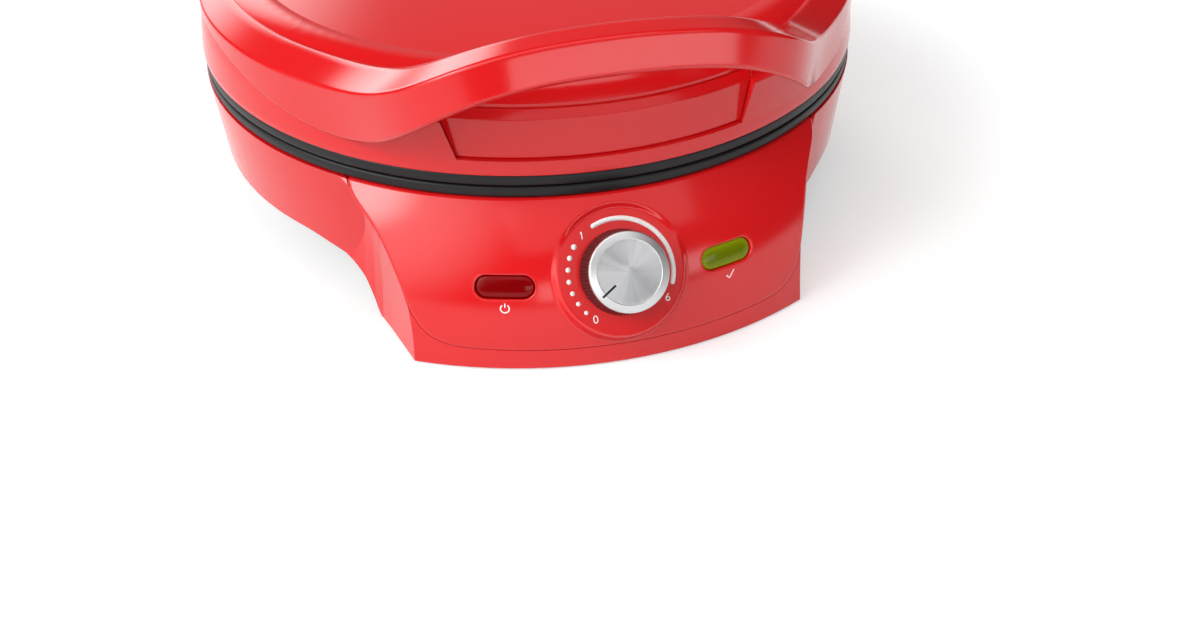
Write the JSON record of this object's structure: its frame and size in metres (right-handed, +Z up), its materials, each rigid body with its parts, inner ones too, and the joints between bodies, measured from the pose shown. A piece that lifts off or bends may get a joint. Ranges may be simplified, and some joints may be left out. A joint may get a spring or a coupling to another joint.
{
  "type": "electric pizza maker",
  "caption": "Round electric pizza maker on two broad legs, with a hinged lid, a looped front handle, cast plates that meet rim to rim, a thermostat dial and indicator windows.",
  "frame": {"origin": "on the floor, under the centre of the whole object's bounding box, which is also the axis of the round body", "axes": "+Z up, the front with the dial and the handle's bar faces -Y, +X to the right as seen from the front"},
  "size_m": [0.3372, 0.4236, 0.1578],
  "materials": {
    "red_shell": "gloss",
    "plate_coating": "cast aluminium with a satin black non-stick coating",
    "tray_black": "matt",
    "rubber": "matt",
    "steel": "zinc plated",
    "element": "oxidised",
    "reflector": "bright",
    "knob_metal": "spun",
    "knob_skirt": "bright plated",
    "pointer_black": "matt",
    "lens_red": "gloss",
    "lens_green": "gloss",
    "lamp_glass": "clear",
    "holder_white": "matt",
    "thermostat_ceramic": "matt",
    "wire_sheath": "woven sleeve"
  },
  "bodies": {
    "base": {"base_shell": "red_shell", "front_panel": "red_shell", "rear_leg": "red_shell", "bottom_tray": "tray_black", "rubber_feet": "rubber", "tray_screws": "steel", "lower_plate": "plate_coating", "lower_plate_screws": "steel", "lower_reflector": "reflector", "lower_reflector_screws": "steel", "lower_heater": "element", "lower_heater_clips": "steel", "thermal_fuse": "holder_white", "thermostat_body": "thermostat_ceramic", "thermostat_bracket": "steel", "thermostat_bracket_screws": "steel", "power_lens": "lens_red", "ready_lens": "lens_green", "power_lamp": "lamp_glass", "ready_lamp": "lamp_glass", "lamp_holders": "holder_white", "terminal_block": "holder_white", "lead_wires": "wire_sheath", "cord_gland": "rubber", "hinge_pin": "steel", "hinge_pin_rings": "steel"},
    "lid": {"lid_shell": "red_shell", "lid_handle": "red_shell", "hinge_cover": "red_shell", "handle_screws": "steel", "hinge_cover_screws": "steel", "upper_plate": "plate_coating", "upper_plate_screws": "steel", "upper_reflector": "reflector", "upper_reflector_screws": "steel", "upper_heater": "element", "upper_heater_clips": "steel"},
    "knob": {"knob_skirt": "knob_skirt", "knob_cap": "knob_metal", "knob_pointer": "pointer_black", "thermostat_shaft": "steel"}
  },
  "joints": [
    {"name": "lid_hinge", "type": "hinge", "parent": "base", "child": "lid", "pos_m": [0, 0.20085, 0.088], "axis": [-1, 0, 0], "range_deg": [0, 100]},
    {"name": "knob_turn", "type": "hinge", "parent": "base", "child": "knob", "pos_m": [0, -0.1883, 0.04275], "axis": [0, 0.8221, -0.5693], "range_deg": [-18, 250]}
  ]
}
